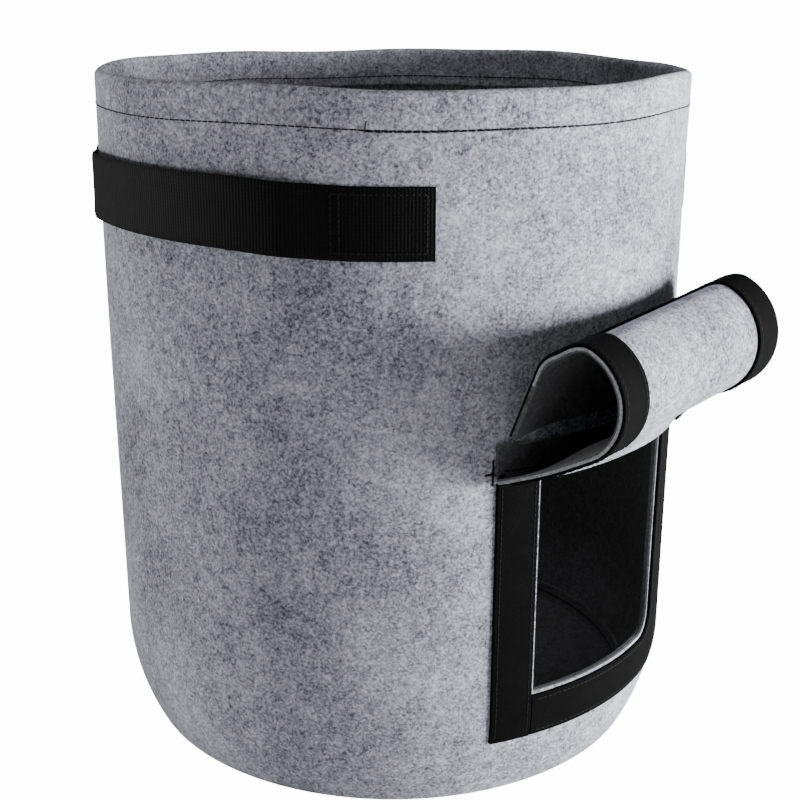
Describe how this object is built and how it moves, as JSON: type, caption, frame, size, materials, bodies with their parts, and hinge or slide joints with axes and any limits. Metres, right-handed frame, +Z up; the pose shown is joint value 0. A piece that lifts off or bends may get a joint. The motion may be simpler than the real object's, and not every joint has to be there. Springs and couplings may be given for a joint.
{
  "type": "fabric grow bag",
  "caption": "Round felt planting bag with webbing handles and a side harvest window closed by a roll-up flap with hook-and-loop tape.",
  "frame": {"origin": "on the bag's axis at the underside of its base", "axes": "+Z up; the window faces -Y, the handles are at -X and +X, the side seam at +Y"},
  "size_m": [0.309, 0.3567, 0.345],
  "materials": {
    "felt": "needle-punched, matte",
    "webbing": "woven, matte",
    "loop_tape": "brushed loops, matte",
    "hook_tape": "hooked pile, satin",
    "thread": "twisted, satin"
  },
  "bodies": {
    "bag": {"bar_tack_left": "thread", "bar_tack_right": "thread", "base_disc": "felt", "base_seam_thread": "thread", "flap_header": "felt", "flap_header_thread": "thread", "handle_left_back_end": "webbing", "handle_left_back_stitching": "thread", "handle_left_front_end": "webbing", "handle_left_front_stitching": "thread", "handle_right_back_end": "webbing", "handle_right_back_stitching": "thread", "handle_right_front_end": "webbing", "handle_right_front_stitching": "thread", "hem_bobbin_thread": "thread", "hem_needle_thread": "thread", "loop_tape_left": "loop_tape", "loop_tape_left_thread": "thread", "loop_tape_lower": "loop_tape", "loop_tape_lower_thread": "thread", "side_seam_thread": "thread", "wall_panel": "felt"},
    "left_handle": {"handle_left_grip": "webbing"},
    "right_handle": {"handle_right_grip": "webbing"},
    "flap_1": {"flap_panel_1": "felt", "hook_tape_1": "hook_tape", "hook_tape_thread_1": "thread"},
    "flap_2": {"flap_panel_2": "felt", "hook_tape_2": "hook_tape", "hook_tape_thread_2": "thread"},
    "flap_3": {"flap_panel_3": "felt", "hook_tape_3": "hook_tape", "hook_tape_thread_3": "thread"},
    "flap_4": {"flap_panel_4": "felt", "hook_tape_4": "hook_tape", "hook_tape_thread_4": "thread"},
    "flap_5": {"flap_panel_5": "felt", "hook_tape_5": "hook_tape", "hook_tape_thread_5": "thread"},
    "flap_6": {"flap_panel_6": "felt", "hook_tape_6": "hook_tape", "hook_tape_thread_6": "thread"},
    "flap_7": {"flap_panel_7": "felt", "hook_tape_7": "hook_tape", "hook_tape_thread_7": "thread"},
    "flap_8": {"flap_panel_8": "felt", "hook_tape_8": "hook_tape", "hook_tape_thread_8": "thread"}
  },
  "joints": [
    {"name": "flap_hinge", "type": "hinge", "parent": "bag", "child": "flap_1", "pos_m": [-0.00199, -0.15707, 0.172], "axis": [0.9945, 0.1045, 0], "range_deg": [0, 133.5]},
    {"name": "flap_curl_2", "type": "hinge", "parent": "flap_1", "child": "flap_2", "pos_m": [-0.00017, -0.17438, 0.18852], "axis": [0.9945, 0.1045, 0], "range_deg": [0, 2.55]},
    {"name": "flap_curl_3", "type": "hinge", "parent": "flap_2", "child": "flap_3", "pos_m": [0.00142, -0.18958, 0.20435], "axis": [0.9945, 0.1045, 0], "range_deg": [0, 21.05]},
    {"name": "flap_curl_4", "type": "hinge", "parent": "flap_3", "child": "flap_4", "pos_m": [0.00213, -0.1963, 0.22027], "axis": [0.9945, 0.1045, 0], "range_deg": [0, 38.05]},
    {"name": "flap_curl_5", "type": "hinge", "parent": "flap_4", "child": "flap_5", "pos_m": [0.00166, -0.19185, 0.23698], "axis": [0.9945, 0.1045, 0], "range_deg": [0, 48.05]},
    {"name": "flap_curl_6", "type": "hinge", "parent": "flap_5", "child": "flap_6", "pos_m": [0.00005, -0.17652, 0.24483], "axis": [0.9945, 0.1045, 0], "range_deg": [0, 50.55]},
    {"name": "flap_curl_7", "type": "hinge", "parent": "flap_6", "child": "flap_7", "pos_m": [-0.00161, -0.16074, 0.23794], "axis": [0.9945, 0.1045, 0], "range_deg": [0, 45.05]},
    {"name": "flap_curl_8", "type": "hinge", "parent": "flap_7", "child": "flap_8", "pos_m": [-0.00227, -0.15444, 0.22184], "axis": [0.9945, 0.1045, 0], "range_deg": [0, 33.05]},
    {"name": "left_handle_lift", "type": "slide", "parent": "bag", "child": "left_handle", "axis": [-0.8, 0, 0.6], "range_m": [0, 0.014]},
    {"name": "right_handle_lift", "type": "slide", "parent": "bag", "child": "right_handle", "axis": [0.8, 0, 0.6], "range_m": [0, 0.014]}
  ],
  "couplings": [
    {"joint": "flap_curl_2", "follows": "flap_hinge", "ratio": 0.018727},
    {"joint": "flap_curl_3", "follows": "flap_hinge", "ratio": 0.1573},
    {"joint": "flap_curl_4", "follows": "flap_hinge", "ratio": 0.28464},
    {"joint": "flap_curl_5", "follows": "flap_hinge", "ratio": 0.35955},
    {"joint": "flap_curl_6", "follows": "flap_hinge", "ratio": 0.37828},
    {"joint": "flap_curl_7", "follows": "flap_hinge", "ratio": 0.33708},
    {"joint": "flap_curl_8", "follows": "flap_hinge", "ratio": 0.24719}
  ]
}
